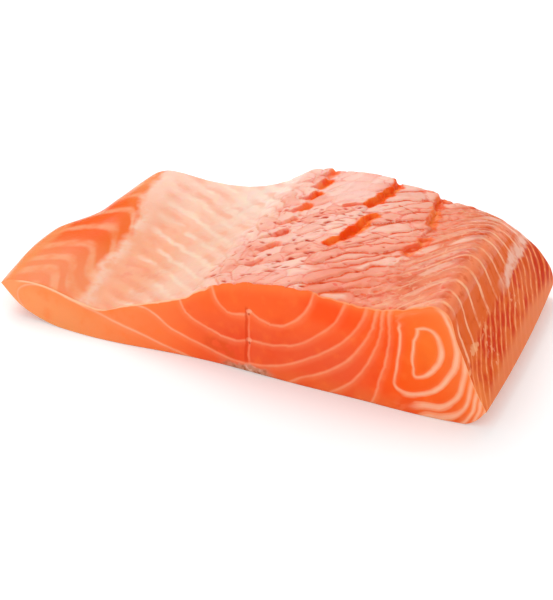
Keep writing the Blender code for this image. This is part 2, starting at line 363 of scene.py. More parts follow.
class UpperFace:
    """The inner face and the back edge's side, as arrays over the mesh's rows and columns, in mm."""

    def __init__(self, shares, places):
        sections = through(stations(UPPER, shares), places)
        self.x = sections[..., 0] / MM
        self.z = sections[..., 1] / MM
        self.y = np.broadcast_to((shares * DEPTH / MM)[:, None], self.x.shape)
        self.places = np.broadcast_to(places[None, :], self.x.shape)
        step = np.hypot(np.diff(self.x, axis=1), np.diff(self.z, axis=1))
        girth = np.concatenate([np.zeros((len(shares), 1)), np.cumsum(step, axis=1)], axis=1)
        shoulder = np.argmin(np.abs(places - STATION["shoulder"]))
        self.past_shoulder = girth - girth[:, shoulder:shoulder + 1]
        self.shoulder_x = self.x[:, shoulder:shoulder + 1]
        self.side = smooth_step(-1.5, 1.5, self.past_shoulder)
        self.over_seam = self.z - np.interp(self.y, *SEAM)
        self.over_membrane = self.x - np.interp(self.y, *MEMBRANE_EDGE)
        self.coarse = uneven(self.x, self.y, size=14.0, seed=3)
        self.fine = uneven(self.x, self.y, size=4.5, seed=4)
        self.sheets = self.muscle_sheets()
        self.gash, self.lowered = self.gashes()
        self.pits = self.small_pits()
        self.inside, self.slant, self.tone = self.flakes()
        self.relief = self.all_relief()
        self.hollow = evened(self.relief, HOLLOW_REACH) - self.relief

    def muscle_sheets(self):
        """Whole numbers on the lines where one sheet of muscle meets the next."""
        in_strip = fading(-2.0, 7.0, self.over_membrane)
        top_x = np.minimum(self.x, self.shoulder_x)
        run = flake_line(top_x - np.interp(self.y, *STRIP_DRIFT) * in_strip) - flake_line(self.shoulder_x)
        loin = smooth_step(-10.0, 10.0, self.x) * (1.0 - self.side)
        wander = (0.9 + 0.6 * loin) * self.coarse + (0.35 + 0.5 * loin) * self.fine
        wander = wander - in_strip * STRIP_SPREAD * (self.y - STRIP_SPREAD_FROM)
        return sheet_at_shoulder(self.y - run + wander + 0.06 * np.maximum(self.past_shoulder, 0.0))

    def gashes(self):
        """A mask of the open gashes, and how far the surface goes down in and beside them."""
        x, y = self.x, self.y
        ragged = 1.3 * uneven(x, y, size=4.0, seed=11) + 0.45 * uneven(x, y, size=1.8, seed=12)
        openings = []
        lowered = np.zeros(x.shape)
        for _, width, depth, step, raw, points in GASHES:
            away, across = from_path(x, y, points)
            openings.append(((away + ragged) / (0.5 * width), depth, raw, (1.0, 1.5)))
            lowered = np.maximum(lowered, step * lower_side(away, across))
        for (right, front), (run_left, run_front), width, depth in BONE_SLITS:
            left = right - run_left
            bend_point = (right - 0.35 * run_left, front - 0.75 * run_front)
            away, _ = from_path(x, y, ((left, front - run_front), bend_point, (right, front)))
            narrow = mix(0.45, 1.0, smooth_step(left, right - 0.4 * run_left, x))
            raw = mix(0.4, 1.0, smooth_step(left, right - 0.2 * run_left, x))
            raw = raw * min(depth / 2.4, 1.0) * mix(0.6, 1.0, smooth_step(40.0, 70.0, front))
            openings.append(((away + 0.7 * ragged) / (0.5 * width * narrow), depth, raw, (0.8, 1.4)))
        mask = np.zeros(x.shape)
        deepest = np.zeros(x.shape)
        for edge, depth, raw, lip in openings:
            mask = np.maximum(mask, raw * fading(*lip, edge))
            deepest = np.maximum(deepest, depth * fading(0.35, 1.0, edge))
        by_bones = lower_side(*from_line(x, y, *BONE_ROW))
        lowered = lowered + BONE_ROW_STEP * by_bones * y / (DEPTH / MM)
        return mask, np.maximum(deepest, lowered)

    def small_pits(self):
        """A mask of the pits, hairlines and nicks round the bone row; the small ones by a seeded draw."""
        draw = np.random.default_rng(7)
        mask = np.zeros(self.x.shape)
        for (x, y), size in PITS:
            spot = np.hypot((self.x - x) / 1.5, self.y - y) + 0.35 * self.fine
            mask = np.maximum(mask, fading(0.35 * size, 0.8 * size, spot))
        for start, end in HAIRLINES:
            away, _ = from_line(self.x, self.y + 0.8 * self.fine, start, end)
            mask = np.maximum(mask, 0.45 * hump(0.0, 0.4, away))
        for _ in range(NICKS):
            x = draw.normal(*NICK_SPREAD)
            y = draw.uniform(*NICKS_ALONG)
            long = draw.uniform(0.5, 1.9)
            strength = draw.uniform(0.35, 1.0)
            slope = draw.uniform(0.0, 0.9) if x > 0.0 else draw.uniform(-1.0, -0.2)
            if not NICKS_ACROSS[0] < x < NICKS_ACROSS[1]:
                continue
            dx, dy = self.x - x, self.y - y
            near = (np.abs(dx) < 5.0) & (np.abs(dy) < 5.0)
            run = (dx + slope * dy) / math.hypot(1.0, slope)
            over = (dy - slope * dx) / math.hypot(1.0, slope)
            spot = np.exp(-((run / long) ** 2) - (over / NICK_WIDTH) ** 2) * strength
            mask = np.maximum(mask, np.where(near, spot, 0.0))
        return mask

    def flakes(self):
        """How far inside its flake each place lies, from 0 in the crease to 1, how far behind its middle,
        and the flake's own number."""
        spots = np.linspace(-95.0, 95.0, 381)
        lengths = np.interp(spots, *FLAKE_LENGTHS)
        counted = np.concatenate([[0.0], np.cumsum(np.diff(spots) / lengths[1:])])
        u = np.interp(self.x, spots, counted) + 0.25 * self.coarse
        v = FLAKES_PER_SHEET * self.sheets + 0.2 * self.fine
        edge, behind, own = cells(u, v, seed=5)
        return smooth_step(0.0, CREASE_WIDTH, edge), behind, own

    def all_relief(self):
        """How far the surface stands out of the smooth form, in mm."""
        x = self.x
        loin = smooth_step(-24.0, -4.0, x) * (1.0 - 0.75 * self.side)
        outer = smooth_step(18.0, 30.0, x)
        domes = (0.34 + 0.04 * outer) * self.inside + (0.28 + 0.12 * outer) * (self.tone - 0.5)
        domes = domes - (0.24 + 0.12 * outer) * self.slant
        calm = hump(14.0, 10.0, x) * smooth_step(52.0, 72.0, self.y)
        domes = domes * (1.0 - 0.45 * smooth_step(38.0, 56.0, x)) * (1.0 - 0.65 * calm)
        membrane = smooth_step(4.0, 12.0, self.over_membrane) * fading(-14.0, 2.0, x)
        plates = membrane * (0.12 * self.inside + 0.10 * self.tone)
        lumps = 0.25 * self.coarse + (0.12 + 0.14 * outer) * self.fine * smooth_step(-30.0, 0.0, x)
        crumbs = 0.40 * uneven(x, self.y, size=2.8, seed=41) + 0.22 * uneven(x, self.y, size=1.4, seed=42)
        crumbly = hump(49.0, 7.0, x) * crumbs
        edge_step = 0.25 * smooth_step(-2.0, 2.0, self.over_membrane + 1.5 * self.coarse)
        fade = smooth_step(0.0, EDGE_FADE, self.places)
        fade = fade * smooth_step(0.0, SIDE_FADE, len(UPPER) - 1 - self.places)
        sunk = PIT_DEPTH * self.pits + self.lowered
        return (domes * loin + plates + lumps + crumbly + edge_step - sunk) * fade

    def placed(self):
        """Across and height with the relief, in metres."""
        along_x = np.gradient(self.x, axis=1)
        along_z = np.gradient(self.z, axis=1)
        length = np.hypot(along_x, along_z)
        x = (self.x - along_z / length * self.relief) * MM
        z = (self.z + along_x / length * self.relief) * MM
        return x, z


# The sheets on the knife cut: whole numbers rise from the top middle outwards, and in rings round the
# back's cone. Points are across and height, in mm. The line at CUT_SEPTUM parts belly from back.
CUT_SEPTUM = 7.9
BACK_SHEETS = (
    (0.45, ((10, 31), (12, 28.5), (18, 27.5), (23, 29.5), (24, 33))),
    (1, ((7.9, 23.1), (11.5, 20.6), (16.3, 19.5), (20.6, 20.3), (25, 23.2), (28.6, 28), (30.6, 34))),
    (2, ((7.9, 11.9), (13.5, 11.9), (20.8, 12.9), (26.8, 15.2), (32.5, 19.6), (38.2, 25), (40.8, 31))),
    (3, ((7.9, 3), (16.6, 4.3), (23.5, 6.9), (30.5, 11), (38, 16.2), (44.5, 23), (48.8, 32))),
    (4, ((26.9, 2.6), (32.6, 5.2), (38.1, 8.6), (44.2, 14), (48.5, 20.5), (51.6, 27), (52.6, 33.5))),
    (5, ((39.7, 1.4), (43.9, 4.4), (48.9, 11.2), (52, 18), (54.2, 25), (54.6, 33.1))),
    (6, ((52.8, 1), (54.6, 8), (56.2, 14), (57.2, 20), (57.4, 26.8), (56.9, 33.5))),
    (7, ((59.6, 33.4), (60.7, 27.8), (60.4, 19.4), (59.9, 12.3), (60, 7.8), (63.4, 6.3), (69.7, 7.8))),
    (7, ((74.2, 10.6), (77.3, 15.4), (79.4, 20.5), (79.6, 24.8), (78.4, 29), (75.6, 35.6))),
    (7, ((61.5, 34.9), (65.5, 36.6), (70, 38.2), (73.6, 38.6))),
    (8, ((68.6, 31.6), (65.8, 29), (65.4, 23.2), (65.8, 17.4), (65.4, 13.6), (69.3, 14.2), (72.5, 17.3))),
    (8, ((74.3, 21.7), (74, 26), (72.2, 30))),
    (8.8, ((69.5, 22),)),
    (6, ((61.1, 3.4), (68, 3.2), (74.7, 4), (78.6, 6.4), (81.7, 11.2), (82.6, 18), (82.3, 23.4))),
    (5, ((72, 0.4), (78.5, 1.4), (82.9, 4.6), (84.6, 9.6), (85.2, 15.6))),
    (4, ((84.2, 1), (86.3, 5.2), (86.9, 10.6))),
    (3, ((87, 1.8), (88.3, 5.2), (88.6, 8.6))),
    (2, ((89.4, 3.4), (90.4, 6))),
    (6.4, ((60, 1), (57.5, 0.6))),
)
BELLY_SHEETS = (
    (0.45, ((-1, 28.5), (3, 26.5), (6.5, 28))),
    (1, ((-5.6, 29), (-4.6, 25.1), (-1.3, 21.1), (3.5, 19.9), (7.9, 21.9))),
    (2, ((-18.6, 22.4), (-15.6, 16.2), (-9.6, 13.2), (-1.4, 10.6), (3.1, 10.2), (7.9, 11.8))),
    (3, ((-36.1, 14.6), (-30.6, 14), (-25.7, 11.8), (-21.7, 9.3), (-15.6, 7.2), (-5.5, 4.4), (7.9, 2.6))),
    (4, ((-65.1, 12.1), (-60, 10.1), (-54.5, 8.5), (-47.5, 7.4), (-35.6, 5.3), (-28.5, 3.7), (-22, 1.8))),
    (4, ((-16, 0.4),)),
    (4.5, ((-60, 4.5), (-70, 6.5), (-45, 2.5))),
    (4, ((-68, 13.2), (-76, 13), (-80.6, 11.2), (-82.6, 8.4), (-82, 6), (-80, 3.6))),
    (3.7, ((-87, 10), (-86, 7.6))),
)


class SheetField:
    """A smooth surface near the numbered points of some curves, by thin-plate interpolation."""

    # How freely the surface passes beside its points.
    EASE = 0.02

    def __init__(self, curves):
        self.points = np.array([p for _, curve in curves for p in curve], dtype=float)
        numbers = np.array([number for number, curve in curves for _ in curve], dtype=float)
        count = len(self.points)
        plate = np.zeros((count + 3, count + 3))
        plate[:count, :count] = self.weights_at(self.points) + self.EASE * np.eye(count)
        plate[:count, count:] = np.column_stack([np.ones(count), self.points])
        plate[count:, :count] = plate[:count, count:].T
        self.solution = np.linalg.solve(plate, np.concatenate([numbers, np.zeros(3)]))

    def weights_at(self, places):
        away = np.hypot(*(places[:, None, :] - self.points[None, :, :]).transpose(2, 0, 1))
        return away ** 2 * np.log(np.maximum(away, 1e-6))

    def __call__(self, x, z):
        places = np.column_stack([np.ravel(x), np.ravel(z)])
        terms = np.column_stack([self.weights_at(places), np.ones(len(places)), places])
        return (terms @ self.solution).reshape(np.shape(x))


class CutFace:
    """The pattern of a knife cut over the front section: place across, place up, and the sheets there."""

    def __init__(self, places):
        front = np.array([0.0])
        self.top = through(stations(UPPER, front), places)[0] / MM
        self.under = through(under_stations(front), places)[0] / MM
        self.under[:, 1] = np.maximum(self.under[:, 1], 0.0)
        self.belly = SheetField(BELLY_SHEETS)
        self.back = SheetField(BACK_SHEETS)

    def at(self, columns, shares):
        """Across and height on the front section for these columns and shares of the height."""
        place = mix(self.under[columns], self.top[columns], shares[:, None])
        return place[:, 0], place[:, 1]

    def sheets(self, x, z):
        return np.where(x < CUT_SEPTUM, self.belly(x, z), self.back(x, z))


def grid_block(columns, rows, levels):
    """A block of square cells, one unit each, whose left and right ends close to an edge."""
    bm = bmesh.new()
    bmesh.ops.create_grid(bm, x_segments=columns, y_segments=rows, size=0.5)
    corner = Vector((min(v.co.x for v in bm.verts), min(v.co.y for v in bm.verts), 0.0))
    bmesh.ops.translate(bm, vec=-corner, verts=bm.verts)
    bmesh.ops.scale(bm, vec=(-0.5 * columns / corner.x, -0.5 * rows / corner.y, 1.0), verts=bm.verts)
    raised = bmesh.ops.extrude_face_region(bm, geom=[*bm.verts, *bm.edges, *bm.faces])["geom"]
    raised_vertices = [part for part in raised if isinstance(part, bmesh.types.BMVert)]
    bmesh.ops.translate(bm, vec=(0, 0, levels), verts=raised_vertices)
    posts = [e for e in bm.edges if abs(e.verts[0].co.z - e.verts[1].co.z) > 0.5]
    bmesh.ops.subdivide_edges(bm, edges=posts, cuts=levels - 1, use_grid_fill=True)
    for vertex in bm.verts:
        if vertex.co.x < 0.5 or vertex.co.x > columns - 0.5:
            vertex.co.z = 0.0
    bmesh.ops.remove_doubles(bm, verts=bm.verts[:], dist=0.01)
    return bm


def merge_table_patch(bm, first_column, last_column):
    """The patch that lies on the table is flat, so it becomes one face."""
    patch = [
        f for f in bm.faces
        if all(v.co.z < 0.01 and first_column - 0.01 < v.co.x < last_column + 0.01 for v in f.verts)
    ]
    bmesh.ops.dissolve_faces(bm, faces=patch, use_verts=True)


CUT, INNER, BACK_EDGE, SKIN = 0, 1, 2, 3
# What the finishes of the upper face read from the mesh, beside the place across and along.
UPPER_VALUES = (
    "sheets", "past_shoulder", "over_seam", "over_membrane", "inside", "hollow", "tone", "gash", "pits",
)


def finish_zones(bm, rows, edge_column):
    """Gives each face the finish of its zone: the knife cuts, the inner face, the back edge's side beyond
    this column, or the skin side."""
    for face in bm.faces:
        along = [v.co.y for v in face.verts]
        if max(along) < 0.01 or min(along) > rows - 0.01:
            face.material_index = CUT
        elif max(v.co.z for v in face.verts) < 0.5:
            face.material_index = SKIN
        elif min(v.co.x for v in face.verts) > edge_column - 0.5:
            face.material_index = BACK_EDGE
        else:
            face.material_index = INNER
        face.smooth = True


def lean(humps, x, level):
    """How far out the cut face stands at this place across and share of its height."""
    foot = sum(out * np.exp(-(((x - middle) / half_width) ** 2)) for middle, half_width, out in humps)
    return foot * (1.0 - level) ** LEAN_ROUNDNESS


def in_scene(name, data):
    """A new object of the scene with this mesh, light or camera."""
    thing = bpy.data.objects.new(name, data)
    bpy.context.scene.collection.objects.link(thing)
    return thing


def set_value(mesh, name, values):
    """Gives each point of the mesh its value under this name, for the finishes to read."""
    attribute = mesh.attributes.new(name, "FLOAT", "POINT")
    attribute.data.foreach_set("value", np.asarray(values, dtype=np.float32))


def spacing(values, x, z, field):
    """How many mm one whole number of the field takes, at each point."""
    step = 0.4
    slope = np.hypot(field(x + step, z) - values, field(x, z + step) - values) / step
    return 1.0 / np.maximum(slope, 0.02)


def flesh_piece(finishes):
    """The whole portion as one fine closed mesh."""
    places = column_places()
    shares = row_shares()
    columns, rows, levels = len(places) - 1, len(shares) - 1, len(LEVEL_SHARES) - 1
    bm = grid_block(columns, rows, levels)
    heel_columns = [int(np.argmin(np.abs(places - s))) for s in (BELLY_HEEL_STATION, BACK_HEEL_STATION)]
    merge_table_patch(bm, *heel_columns)
    finish_zones(bm, rows, int(np.argmin(np.abs(places - BACK_EDGE_STATION))))
    mesh = bpy.data.meshes.new("salmon_flesh")
    bm.to_mesh(mesh)
    bm.free()

    grid = np.empty(len(mesh.vertices) * 3)
    mesh.vertices.foreach_get("co", grid)
    column, row, level = np.rint(grid.reshape(-1, 3)).astype(int).T
    tip = (column == 0) | (column == columns)
    level_share = np.where(tip, 1.0, np.array(LEVEL_SHARES)[level])

    upper = UpperFace(shares, places)
    top_x, top_z = upper.placed()
    lower = through(under_stations(shares), places)
    x = mix(lower[row, column, 0], top_x[row, column], level_share)
    z = mix(np.maximum(lower[row, column, 1], 0.0), top_z[row, column], level_share)

    from_back = len(UPPER) - 1 - places[column]
    within = smooth_step(0.0, EDGE_FADE, places[column]) * smooth_step(0.0, EDGE_FADE, from_back)
    y = shares[row] * DEPTH
    y = y + lean(REAR_LEAN, x, level_share) * within * smooth_step(1.0 - LEAN_REACH, 1.0, shares[row])
    y = y - lean(FRONT_LEAN, x, level_share) * within * fading(0.0, LEAN_REACH, shares[row])
    cut_edge = np.minimum(shares[row], 1.0 - shares[row]) * DEPTH
    rounded = fading(0.0, EDGE_ROWS[-1], cut_edge) * smooth_step(0.9, 1.0, level_share)
    z = z - EDGE_ROUNDING * rounded * within
    mesh.vertices.foreach_set("co", np.column_stack([x + DATUM[0], y + DATUM[1], z]).ravel())

    cut = CutFace(places)
    cut_x, cut_z = cut.at(column, level_share)
    cut_sheets = cut.sheets(cut_x, cut_z)
    set_value(mesh, "cut_sheets", cut_sheets)
    set_value(mesh, "cut_pitch", spacing(cut_sheets, cut_x, cut_z, cut.sheets))
    set_value(mesh, "cut_across", cut_x)
    set_value(mesh, "cut_height", cut_z)
    set_value(mesh, "cut_below_top", cut.top[column, 1] - cut_z)
    set_value(mesh, "across", upper.x[row, column])
    set_value(mesh, "along", upper.y[row, column])
    for name in UPPER_VALUES:
        set_value(mesh, name, getattr(upper, name)[row, column])
    for finish in finishes:
        mesh.materials.append(finish)
    return in_scene("salmon_flesh", mesh)


class Value:
    """A number that changes over the surface: a shader socket that works in Python expressions."""

    def __init__(self, finish, socket):
        self.finish = finish
        self.socket = socket

    def math(self, operation, *values):
        sockets = dict(enumerate(values))
        return self.finish.node("ShaderNodeMath", {"operation": operation}, sockets)

    def __add__(self, other):
        return self.math("ADD", self, other)

    def __sub__(self, other):
        return self.math("SUBTRACT", self, other)

    def __rsub__(self, other):
        return self.math("SUBTRACT", other, self)

    def __mul__(self, other):
        return self.math("MULTIPLY", self, other)

    def __truediv__(self, other):
        return self.math("DIVIDE", self, other)

    __radd__ = __add__
    __rmul__ = __mul__

    def whole(self):
        return self.math("ROUND", self)

    def to_line(self):
        """How far the number is from the nearest whole number."""
        return self.math("PINGPONG", self, 0.5)

    def size(self):
        return self.math("ABSOLUTE", self)

    def most(self, other):
        return self.math("MAXIMUM", self, other)

    def ramp(self, low, high, start=0.0, end=1.0):
        """A soft ramp from start at low to end at high."""
        settings = {"interpolation_type": "SMOOTHSTEP"}
        sockets = {"Value": self, "From Min": low, "From Max": high, "To Min": start, "To Max": end}
        return self.finish.node("ShaderNodeMapRange", settings, sockets)

    def band(self, low, full_from, full_to, high):
        """Rises softly from low, is 1 between the two middle places and is back at 0 at high."""
        return self.ramp(low, full_from) * self.ramp(high, full_to)

    def near(self, place, full, reach):
        """1 as far from the place as full, and from there softly down to 0 at reach."""
        return (self - place).size().ramp(reach, full)


def set_stops(ramp, stops):
    """Gives a colour ramp these stops, each a place from 0 to 1 and a colour."""
    while len(ramp.elements) < len(stops):
        ramp.elements.new(1.0)
    for element, (place, tint) in zip(ramp.elements, stops):
        element.position = place
        element.color = tint


# A colour mix has several sockets of one name, so these are the places of its own.
MIX_SHARE, MIX_FIRST, MIX_SECOND = 0, 6, 7
MIX_COLOUR = 2


class Finish:
    """One material and its nodes."""

    def __init__(self, name, **plain):
        self.material = bpy.data.materials.new(name)
        self.material.use_nodes = True
        self.tree = self.material.node_tree
        self.shader = self.tree.nodes["Principled BSDF"]
        for socket, value in plain.items():
            self.shader.inputs[socket.replace("_", " ")].default_value = value
        self.place = self.node("ShaderNodeTexCoord", {}, {}, "Object")

    def node(self, kind, settings, sockets, output=0):
        """Any node: its settings first, then a value or a link for each of its sockets."""
        node = self.tree.nodes.new(kind)
        for name, value in settings.items():
            if name == "stops":
                set_stops(node.color_ramp, value)
            else:
                setattr(node, name, value)
        for name, value in sockets.items():
            if isinstance(value, Value):
                self.tree.links.new(value.socket, node.inputs[name])
            else:
                node.inputs[name].default_value = value
        return Value(self, node.outputs[output])

    def attribute(self, name):
        return self.node("ShaderNodeAttribute", {"attribute_name": name}, {}, "Fac")

    def axis(self, name):
        return self.node("ShaderNodeSeparateXYZ", {}, {"Vector": self.place}, name)

    def noise(self, size, detail=2.0):
        """Soft random values between 0 and 1, with features of about this size in metres."""
        sockets = {"Vector": self.place, "Scale": 1.0 / size, "Detail": detail}
        return self.node("ShaderNodeTexNoise", {}, sockets)

    def blend(self, first, second, share):
        """The first colour, with a share of the second over it."""
        sockets = {MIX_SHARE: share, MIX_FIRST: first, MIX_SECOND: second}
        return self.node("ShaderNodeMix", {"data_type": "RGBA"}, sockets, MIX_COLOUR)

    def layers(self, tint, seen, *layers):
        """A colour with others over it, each a screen colour and the share of it that shows. Seen is the
        function that turns a screen colour into the shader's."""
        for screen, share in layers:
            tint = self.blend(tint, seen(*screen), share)
        return tint

    def along_ramp(self, value, stops):
        """A colour that follows a value through these stops, each a value and a colour."""
        first, last = stops[0][0], stops[-1][0]
        share = (value - first) / (last - first)
        places = [((place - first) / (last - first), tint) for place, tint in stops]
        return self.node("ShaderNodeValToRGB", {"stops": places}, {"Fac": share})

    def bump(self, height, distance, strength=1.0):
        sockets = {"Height": height, "Distance": distance, "Strength": strength}
        return self.node("ShaderNodeBump", {}, sockets)

    def feed(self, socket, value):
        self.tree.links.new(value.socket, self.shader.inputs[socket])

    def surface(self, tint, roughness, grain, depth, strength):
        """Feeds the shader its colour, its least and most roughness and the height of its grain."""
        self.feed("Base Color", tint)
        self.feed("Roughness", self.noise(0.003, 3.0).ramp(0.2, 0.8, *roughness))
        self.feed("Normal", self.bump(grain, depth, strength))
        return self.material


def colour(red, green, blue, light=1.0, veil=0.03):
    """The shader's linear values for a screen colour from 0 to 255, as it looks in this light and gloss."""
    screen = np.array([red, green, blue]) / 255.0
    linear = np.where(screen <= 0.04045, screen / 12.92, ((screen + 0.055) / 1.055) ** 2.4)
    return (*(float(part) for part in np.maximum((linear - veil) / light, 0.002)), 1.0)


def top(red, green, blue):
    """A screen colour as it looks on the upper face."""
    return colour(red, green, blue, 1.05, 0.06)


def side(red, green, blue):
    """A screen colour as it looks on the back edge's side."""
    return colour(red, green, blue, 0.88, 0.02)


def in_gash(red, green, blue):
    """A screen colour as it looks down in a gash."""
    return colour(red, green, blue, 0.9, 0.02)


# Plain values of the shader: the film of wet on the flesh, a duller one, and the light that goes into it.
WET = dict(IOR=1.30, Specular_IOR_Level=0.2, Coat_IOR=1.25, Coat_Roughness=0.14)
DULL = {**WET, "Specular_IOR_Level": 0.05}
GLOW = dict(Subsurface_Weight=0.25, Subsurface_Radius=(1.0, 0.30, 0.12), Subsurface_Scale=0.0035)

# The heights of the two knots on the line that parts belly from back, in mm.
SEPTUM_KNOTS = (22.6, 11.9)


def cut_finish():
    """The knife cuts: bright orange flesh with pale fat between the sheets of muscle."""
    f = Finish("cut_flesh", **WET, **GLOW)
    names = ("cut_sheets", "cut_pitch", "cut_across", "cut_height", "cut_below_top")
    sheets, pitch, across, height, below = (f.attribute(name) for name in names)
    mottle = f.noise(0.004, 4)
    soft = f.noise(0.012, 2)

    # The muscle, redder in the middle and paler towards both ends.
    flesh = f.along_ramp(across, (
        (-90, colour(254, 160, 104)),
        (-62, colour(252, 156, 102)),
        (-36, colour(254, 136, 84)),
        (-8, colour(252, 110, 62)),
        (40, colour(250, 102, 60)),
        (60, colour(252, 98, 50)),
        (90, colour(250, 116, 62)),
    ))
    middle = across.band(-25, 5, 40, 60)
    thin = below.ramp(6, 0.5) * (0.5 + across.ramp(52, 60) * 0.3)
    cone = sheets.ramp(7, 8.4) * height.ramp(6, 26) * across.ramp(58, 62)
    lobes = across.near(38, 5, 15) * below.near(6, 2, 6)
    stain = across.near(-3, 4, 8) * height.near(6, 2, 5)
    flesh = f.layers(
        flesh, colour,
        ((238, 98, 66), height.ramp(24, 12) * middle * 0.9),
        ((240, 116, 70), height.ramp(7, 1) * across.ramp(0, 30) * 0.8),
        ((252, 136, 76), thin),
        ((252, 130, 72), below.ramp(16, 2) * across.ramp(54, 62) * 0.5),
        ((254, 126, 68), mottle.ramp(0.48, 0.78) * 0.35),
        ((238, 80, 42), soft.ramp(0.50, 0.75) * across.ramp(-40, -10) * 0.5),
        ((254, 132, 62), cone * 0.5),
        ((255, 90, 28), lobes * 0.7),
        ((222, 88, 52), stain * mottle.ramp(0.4, 0.6) * 0.5),
    )

    # The fat lines: a glow on one side, a pale core and a paler heart. They are bolder in the rings.
    past_line = (sheets - sheets.whole()) * pitch + (f.noise(0.006, 2) - 0.5) * 0.35
    away = past_line.size()
    rings = across.ramp(58, 61)
    belly = across.ramp(-8, -30)
    uneven_fat = f.noise(0.007, 2).ramp(0.3, 0.7, 0.75, 1.1)
    glow = past_line.band(-0.9, -0.1, 0.1, 2.6) * (0.30 - rings * 0.1)
    thick = across.ramp(67, 72).most(height.ramp(13, 6)) * across.ramp(86, 79)
    thick = thick * rings * height.ramp(33, 22)
    bottom = height.ramp(6.5, 4.5) * across.band(64, 68, 78, 84)
    near_top = across.ramp(30, 55) * below.ramp(14, 2)
    width = 0.42 + rings * 0.12 + thick * 0.42 + bottom * 0.5 + near_top * 0.25
    shown = 1.0 - height.ramp(5, 3.5) * across.band(55, 57, 64, 70)
    shown = shown * (1.0 - below.ramp(4, 2.4) * across.band(61, 63, 71, 75))
    shown = shown * (1.0 - below.ramp(10, 6) * across.band(58.5, 59.5, 63, 65) * 0.9)
    core = ((away - width) / 0.8).ramp(0.5, -0.5) * shown
    heart = ((away - width * 0.5) / 0.4).ramp(0.4, -0.6) * shown
    flesh = f.layers(
        flesh, colour,
        ((255, 156, 112), glow * uneven_fat),
        ((254, 170, 128), core * (0.40 + rings * 0.44 + belly * 0.26) * uneven_fat),
        ((255, 202, 174), heart * (0.08 + rings * 0.36 + belly * 0.24) * uneven_fat),
    )

    # The line that parts belly from back, with its knots.
    beside = across - CUT_SEPTUM + (f.noise(0.004, 2) - 0.5) * 1.3
    from_septum = beside.size()
    septum_part = height.band(1.5, 5, 27, 31)
    dark_strip = beside.band(-1.9, -1.2, -0.8, -0.2) * height.ramp(24.5, 23)
    white = septum_part * height.ramp(25, 22) * soft.ramp(0.3, 0.6, 0.3, 1)
    flesh = f.layers(
        flesh, colour,
        ((220, 76, 46), dark_strip * 0.65 * septum_part),
        ((255, 164, 126), from_septum.ramp(0.6, 0.1) * white * 0.4),
    )
    for knot_height in SEPTUM_KNOTS:
        up = height - knot_height
        knot = (from_septum * from_septum * 0.6 + up * up).ramp(1.1, 0.2)
        spot = (from_septum * from_septum + (up + 1.1) * (up + 1.1) * 0.5).ramp(0.22, 0.05)
        flesh = f.layers(
            flesh, colour,
            ((254, 186, 150), knot * mottle.ramp(0.3, 0.55) * 0.55),
            ((176, 62, 36), spot * 0.6),
        )

    # The belly's tip, the pale rims under the upper face and the brown foot below the middle.
    beyond = sheets.ramp(4.02, 3.92) * across.ramp(-74, -78)
    rim = (below + mottle).ramp(1.75, 1.05) * across.band(-84, -80, -10, -4)
    lip = (below + (mottle - 0.5) * 1.4).ramp(0.9, 0.2) * across.ramp(28, 34)
    foot = across.near(7.5, 5, 12) * (height + (mottle - 0.5) * 5).ramp(2.8, 1)
    blotch = f.noise(0.0028, 2)
    flesh = f.layers(
        flesh, colour,
        ((252, 160, 108), beyond),
        ((255, 200, 160), rim * 0.9),
        ((254, 176, 130), lip * 0.6),
        ((204, 144, 118), foot * 0.95),
        ((160, 90, 62), foot * blotch.ramp(0.55, 0.66) * 0.6),
        ((230, 188, 170), foot * blotch.ramp(0.54, 0.44) * across.near(7.5, 3, 7) * 0.8),
    )
    f.feed("Coat Weight", f.noise(0.010, 2).ramp(0.3, 0.7, 0.1, 0.4))
    return f.surface(flesh, (0.30, 0.46), f.noise(0.0016, 3) * 0.35 + core * 0.5, 0.00025, 0.8)


